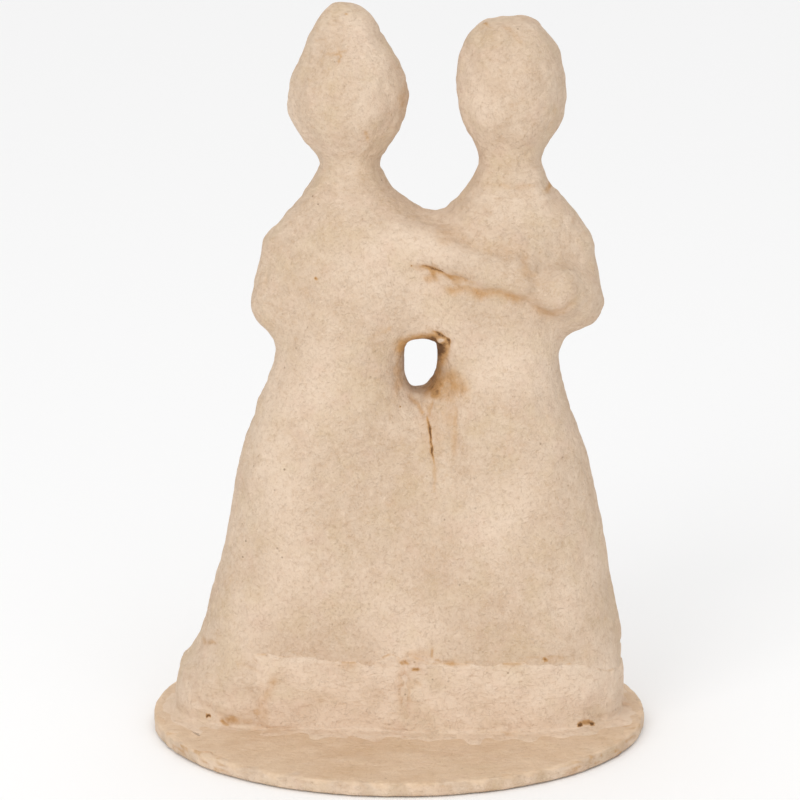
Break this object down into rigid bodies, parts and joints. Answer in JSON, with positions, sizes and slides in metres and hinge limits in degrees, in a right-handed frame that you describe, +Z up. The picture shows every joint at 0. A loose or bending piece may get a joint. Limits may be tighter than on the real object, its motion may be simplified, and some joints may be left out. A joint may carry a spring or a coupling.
{
  "type": "papier-mache wedding couple",
  "caption": "Hollow papier-mache bride and groom, arm in arm, with plain heads, a small window between the waists and a round board foot, left unpainted for decorating.",
  "frame": {"origin": "centre of the round foot's underside", "axes": "+Z up, -Y the way the couple faces, +X towards the groom's side"},
  "size_m": [0.15, 0.15, 0.2206],
  "materials": {
    "moulded_pulp": "matte",
    "kraft_strip": "matte",
    "kraft_disc": "matte",
    "board": "matte"
  },
  "bodies": {
    "root": {"base_bottom_paper": "kraft_disc", "base_rim_strip": "kraft_strip", "base_board_lower": "board", "base_board_upper": "board", "base_top_paper": "kraft_disc", "front_shell": "moulded_pulp", "back_shell": "moulded_pulp", "window_lining": "kraft_strip", "bride_side_strip": "kraft_strip", "groom_side_strip": "kraft_strip", "saddle_strip": "kraft_strip", "bride_collar_strip": "kraft_strip", "groom_collar_strip": "kraft_strip", "bride_head_strip": "kraft_strip", "groom_head_strip": "kraft_strip", "hem_strip_bride_corner": "kraft_strip", "hem_strip_bride_front": "kraft_strip", "hem_strip_groom_front": "kraft_strip", "hem_strip_back": "kraft_strip"}
  },
  "joints": []
}
